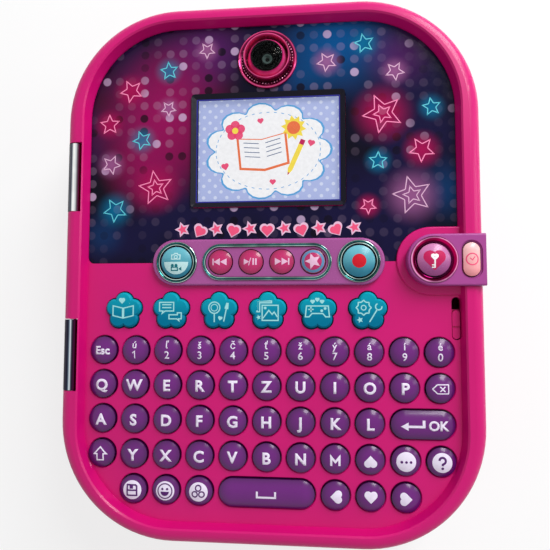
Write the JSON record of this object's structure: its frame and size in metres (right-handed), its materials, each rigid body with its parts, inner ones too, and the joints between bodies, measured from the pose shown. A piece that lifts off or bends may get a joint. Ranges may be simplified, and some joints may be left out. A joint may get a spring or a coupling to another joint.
{
  "type": "electronic secret diary",
  "caption": "Book-shaped electronic diary: a rear tray with a hidden compartment under a hinged deck with a screen, keyboard, tilting camera and lock.",
  "frame": {"origin": "middle of the underside of the feet, below the middle of the closed body", "axes": "+X to the clasp's side, +Y up the page to the camera, +Z out of the front"},
  "size_m": [0.165, 0.213, 0.0524],
  "materials": {
    "pink_shell": "glossy hot pink moulded plastic",
    "key_purple": "satin purple moulded plastic with printed legends",
    "mauve_plastic": "glossy mauve moulded plastic",
    "turquoise_plastic": "glossy turquoise moulded plastic",
    "crimson_plastic": "glossy crimson moulded plastic",
    "peach_plastic": "peach pink moulded plastic",
    "pink_chrome": "pink metallised plastic",
    "dark_chrome": "dark teal metallised plastic",
    "bright_chrome": "bright plating",
    "steel": "plain zinc plated steel",
    "nickel": "nickel plated spring steel",
    "rubber": "soft grey rubber",
    "cell_jacket": "plain two tone battery jacket",
    "circuit_board": "green glass fibre board",
    "silicone": "translucent silicone",
    "speaker_metal": "black speaker frame",
    "screen": "backlit liquid crystal screen",
    "window_glass": "clear acrylic window",
    "night_print": "glossy dark plate with a printed pattern of stars and dots",
    "lens_black": "gloss black acrylic",
    "lens_barrel": "dark moulded lens barrel"
  },
  "bodies": {
    "tray": {"rear_tray": "pink_shell", "rubber_feet": "rubber", "hinge_barrels": "bright_chrome", "hinge_pins": "steel", "hinge_screws": "steel"},
    "deck": {"deck_housing": "pink_shell", "deck_back": "pink_shell", "battery_door": "pink_shell", "case_screws": "steel", "battery_cells": "cell_jacket", "battery_contacts": "nickel", "main_board": "circuit_board", "key_membrane": "silicone", "speaker": "speaker_metal", "lock_solenoid": "steel", "display_module": "screen", "display_window": "window_glass", "faceplate": "night_print", "control_bar": "mauve_plastic", "button_rings": "dark_chrome", "media_bezel": "dark_chrome", "clasp_housing": "mauve_plastic", "clasp_ring": "pink_chrome", "camera_ring": "pink_chrome"},
    "camera": {"camera_ball": "pink_chrome", "camera_glass": "lens_black", "camera_lens": "lens_barrel"},
    "latch": {"latch_slider": "pink_shell"},
    "photo_button": {"photo_button": "turquoise_plastic"},
    "previous_button": {"previous_button": "crimson_plastic"},
    "play_button": {"play_button": "crimson_plastic"},
    "next_button": {"next_button": "crimson_plastic"},
    "star_button": {"star_button": "turquoise_plastic"},
    "record_button": {"record_button": "turquoise_plastic"},
    "lock_button": {"lock_button": "mauve_plastic"},
    "clock_button": {"clock_button": "peach_plastic"},
    "flower_button_1": {"flower_button_1": "turquoise_plastic"},
    "flower_button_2": {"flower_button_2": "turquoise_plastic"},
    "flower_button_3": {"flower_button_3": "turquoise_plastic"},
    "flower_button_4": {"flower_button_4": "turquoise_plastic"},
    "flower_button_5": {"flower_button_5": "turquoise_plastic"},
    "flower_button_6": {"flower_button_6": "turquoise_plastic"},
    "escape_key": {"escape_key": "key_purple"},
    "backspace_key": {"backspace_key": "key_purple"},
    "enter_key": {"enter_key": "key_purple"},
    "shift_key": {"shift_key": "key_purple"},
    "up_key": {"up_key": "key_purple"},
    "dots_key": {"dots_key": "key_purple"},
    "help_key": {"help_key": "key_purple"},
    "save_key": {"save_key": "key_purple"},
    "smile_key": {"smile_key": "key_purple"},
    "symbols_key": {"symbols_key": "key_purple"},
    "space_key": {"space_key": "key_purple"},
    "left_key": {"left_key": "key_purple"},
    "down_key": {"down_key": "key_purple"},
    "right_key": {"right_key": "key_purple"},
    "number_keys": {"number_keys": "key_purple"},
    "upper_letter_keys": {"upper_letter_keys": "key_purple"},
    "middle_letter_keys": {"middle_letter_keys": "key_purple"},
    "lower_letter_keys": {"lower_letter_keys": "key_purple"}
  },
  "joints": [
    {"name": "deck_hinge", "type": "hinge", "parent": "tray", "child": "deck", "pos_m": [-0.0792, 0.0012, 0.0457], "axis": [0, -1, 0], "range_deg": [0, 105]},
    {"name": "latch_slide", "type": "slide", "parent": "deck", "child": "latch", "axis": [0, 1, 0], "range_m": [0, 0.0045]},
    {"name": "camera_tilt", "type": "hinge", "parent": "deck", "child": "camera", "pos_m": [0, 0.08488, 0.0432], "axis": [1, 0, 0], "range_deg": [-30, 30]},
    {"name": "photo_button_press", "type": "slide", "parent": "deck", "child": "photo_button", "axis": [0, 0, -1], "range_m": [0, 0.0012], "stiffness_N_per_m": 200, "springref_m": -0.0005},
    {"name": "previous_button_press", "type": "slide", "parent": "deck", "child": "previous_button", "axis": [0, 0, -1], "range_m": [0, 0.0012], "stiffness_N_per_m": 200, "springref_m": -0.0005},
    {"name": "play_button_press", "type": "slide", "parent": "deck", "child": "play_button", "axis": [0, 0, -1], "range_m": [0, 0.0012], "stiffness_N_per_m": 200, "springref_m": -0.0005},
    {"name": "next_button_press", "type": "slide", "parent": "deck", "child": "next_button", "axis": [0, 0, -1], "range_m": [0, 0.0012], "stiffness_N_per_m": 200, "springref_m": -0.0005},
    {"name": "star_button_press", "type": "slide", "parent": "deck", "child": "star_button", "axis": [0, 0, -1], "range_m": [0, 0.0012], "stiffness_N_per_m": 200, "springref_m": -0.0005},
    {"name": "record_button_press", "type": "slide", "parent": "deck", "child": "record_button", "axis": [0, 0, -1], "range_m": [0, 0.0012], "stiffness_N_per_m": 200, "springref_m": -0.0005},
    {"name": "lock_button_press", "type": "slide", "parent": "deck", "child": "lock_button", "axis": [0, 0, -1], "range_m": [0, 0.0012], "stiffness_N_per_m": 200, "springref_m": -0.0005},
    {"name": "clock_button_press", "type": "slide", "parent": "deck", "child": "clock_button", "axis": [0, 0, -1], "range_m": [0, 0.0012], "stiffness_N_per_m": 200, "springref_m": -0.0005},
    {"name": "flower_button_1_press", "type": "slide", "parent": "deck", "child": "flower_button_1", "axis": [0, 0, -1], "range_m": [0, 0.0012], "stiffness_N_per_m": 200, "springref_m": -0.0005},
    {"name": "flower_button_2_press", "type": "slide", "parent": "deck", "child": "flower_button_2", "axis": [0, 0, -1], "range_m": [0, 0.0012], "stiffness_N_per_m": 200, "springref_m": -0.0005},
    {"name": "flower_button_3_press", "type": "slide", "parent": "deck", "child": "flower_button_3", "axis": [0, 0, -1], "range_m": [0, 0.0012], "stiffness_N_per_m": 200, "springref_m": -0.0005},
    {"name": "flower_button_4_press", "type": "slide", "parent": "deck", "child": "flower_button_4", "axis": [0, 0, -1], "range_m": [0, 0.0012], "stiffness_N_per_m": 200, "springref_m": -0.0005},
    {"name": "flower_button_5_press", "type": "slide", "parent": "deck", "child": "flower_button_5", "axis": [0, 0, -1], "range_m": [0, 0.0012], "stiffness_N_per_m": 200, "springref_m": -0.0005},
    {"name": "flower_button_6_press", "type": "slide", "parent": "deck", "child": "flower_button_6", "axis": [0, 0, -1], "range_m": [0, 0.0012], "stiffness_N_per_m": 200, "springref_m": -0.0005},
    {"name": "escape_key_press", "type": "slide", "parent": "deck", "child": "escape_key", "axis": [0, 0, -1], "range_m": [0, 0.0012], "stiffness_N_per_m": 200, "springref_m": -0.0005},
    {"name": "backspace_key_press", "type": "slide", "parent": "deck", "child": "backspace_key", "axis": [0, 0, -1], "range_m": [0, 0.0012], "stiffness_N_per_m": 200, "springref_m": -0.0005},
    {"name": "enter_key_press", "type": "slide", "parent": "deck", "child": "enter_key", "axis": [0, 0, -1], "range_m": [0, 0.0012], "stiffness_N_per_m": 200, "springref_m": -0.0005},
    {"name": "shift_key_press", "type": "slide", "parent": "deck", "child": "shift_key", "axis": [0, 0, -1], "range_m": [0, 0.0012], "stiffness_N_per_m": 200, "springref_m": -0.0005},
    {"name": "up_key_press", "type": "slide", "parent": "deck", "child": "up_key", "axis": [0, 0, -1], "range_m": [0, 0.0012], "stiffness_N_per_m": 200, "springref_m": -0.0005},
    {"name": "dots_key_press", "type": "slide", "parent": "deck", "child": "dots_key", "axis": [0, 0, -1], "range_m": [0, 0.0012], "stiffness_N_per_m": 200, "springref_m": -0.0005},
    {"name": "help_key_press", "type": "slide", "parent": "deck", "child": "help_key", "axis": [0, 0, -1], "range_m": [0, 0.0012], "stiffness_N_per_m": 200, "springref_m": -0.0005},
    {"name": "save_key_press", "type": "slide", "parent": "deck", "child": "save_key", "axis": [0, 0, -1], "range_m": [0, 0.0012], "stiffness_N_per_m": 200, "springref_m": -0.0005},
    {"name": "smile_key_press", "type": "slide", "parent": "deck", "child": "smile_key", "axis": [0, 0, -1], "range_m": [0, 0.0012], "stiffness_N_per_m": 200, "springref_m": -0.0005},
    {"name": "symbols_key_press", "type": "slide", "parent": "deck", "child": "symbols_key", "axis": [0, 0, -1], "range_m": [0, 0.0012], "stiffness_N_per_m": 200, "springref_m": -0.0005},
    {"name": "space_key_press", "type": "slide", "parent": "deck", "child": "space_key", "axis": [0, 0, -1], "range_m": [0, 0.0012], "stiffness_N_per_m": 200, "springref_m": -0.0005},
    {"name": "left_key_press", "type": "slide", "parent": "deck", "child": "left_key", "axis": [0, 0, -1], "range_m": [0, 0.0012], "stiffness_N_per_m": 200, "springref_m": -0.0005},
    {"name": "down_key_press", "type": "slide", "parent": "deck", "child": "down_key", "axis": [0, 0, -1], "range_m": [0, 0.0012], "stiffness_N_per_m": 200, "springref_m": -0.0005},
    {"name": "right_key_press", "type": "slide", "parent": "deck", "child": "right_key", "axis": [0, 0, -1], "range_m": [0, 0.0012], "stiffness_N_per_m": 200, "springref_m": -0.0005},
    {"name": "number_keys_press", "type": "slide", "parent": "deck", "child": "number_keys", "axis": [0, 0, -1], "range_m": [0, 0.0012], "stiffness_N_per_m": 520, "springref_m": -0.0005},
    {"name": "upper_letter_keys_press", "type": "slide", "parent": "deck", "child": "upper_letter_keys", "axis": [0, 0, -1], "range_m": [0, 0.0012], "stiffness_N_per_m": 520, "springref_m": -0.0005},
    {"name": "middle_letter_keys_press", "type": "slide", "parent": "deck", "child": "middle_letter_keys", "axis": [0, 0, -1], "range_m": [0, 0.0012], "stiffness_N_per_m": 520, "springref_m": -0.0005},
    {"name": "lower_letter_keys_press", "type": "slide", "parent": "deck", "child": "lower_letter_keys", "axis": [0, 0, -1], "range_m": [0, 0.0012], "stiffness_N_per_m": 520, "springref_m": -0.0005}
  ]
}
